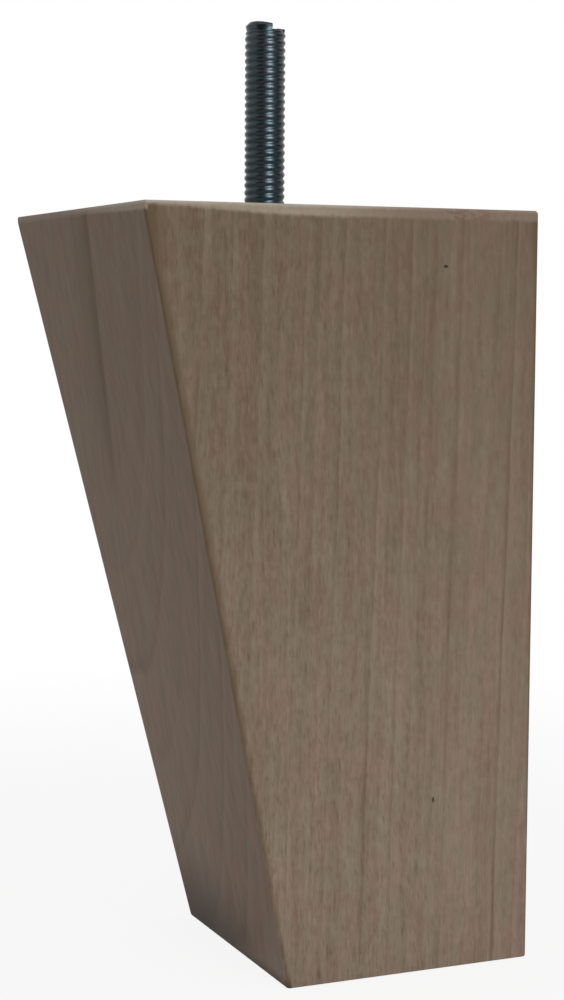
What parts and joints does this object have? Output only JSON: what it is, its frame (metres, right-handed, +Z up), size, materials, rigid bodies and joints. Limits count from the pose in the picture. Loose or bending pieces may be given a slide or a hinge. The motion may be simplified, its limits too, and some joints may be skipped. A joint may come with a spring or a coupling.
{
  "type": "tapered furniture leg",
  "caption": "Square beech leg, plumb on its front and right sides and raked on the others, with a threaded steel stud standing out of its top.",
  "frame": {"origin": "on the floor, straight below the stud's axis and the middle of the square top", "axes": "+Z up along the stud; -Y is the plumb front side and +X the plumb right side; the raked sides face -X and +Y"},
  "size_m": [0.0783, 0.0785, 0.18],
  "materials": {
    "beech": "fine-sanded steamed beech with short dark flecks, matt",
    "zinc_plated_steel": "bright zinc plate with a blue tint"
  },
  "bodies": {
    "root": {"leg_block": "beech", "hanger_bolt": "zinc_plated_steel"}
  },
  "joints": []
}
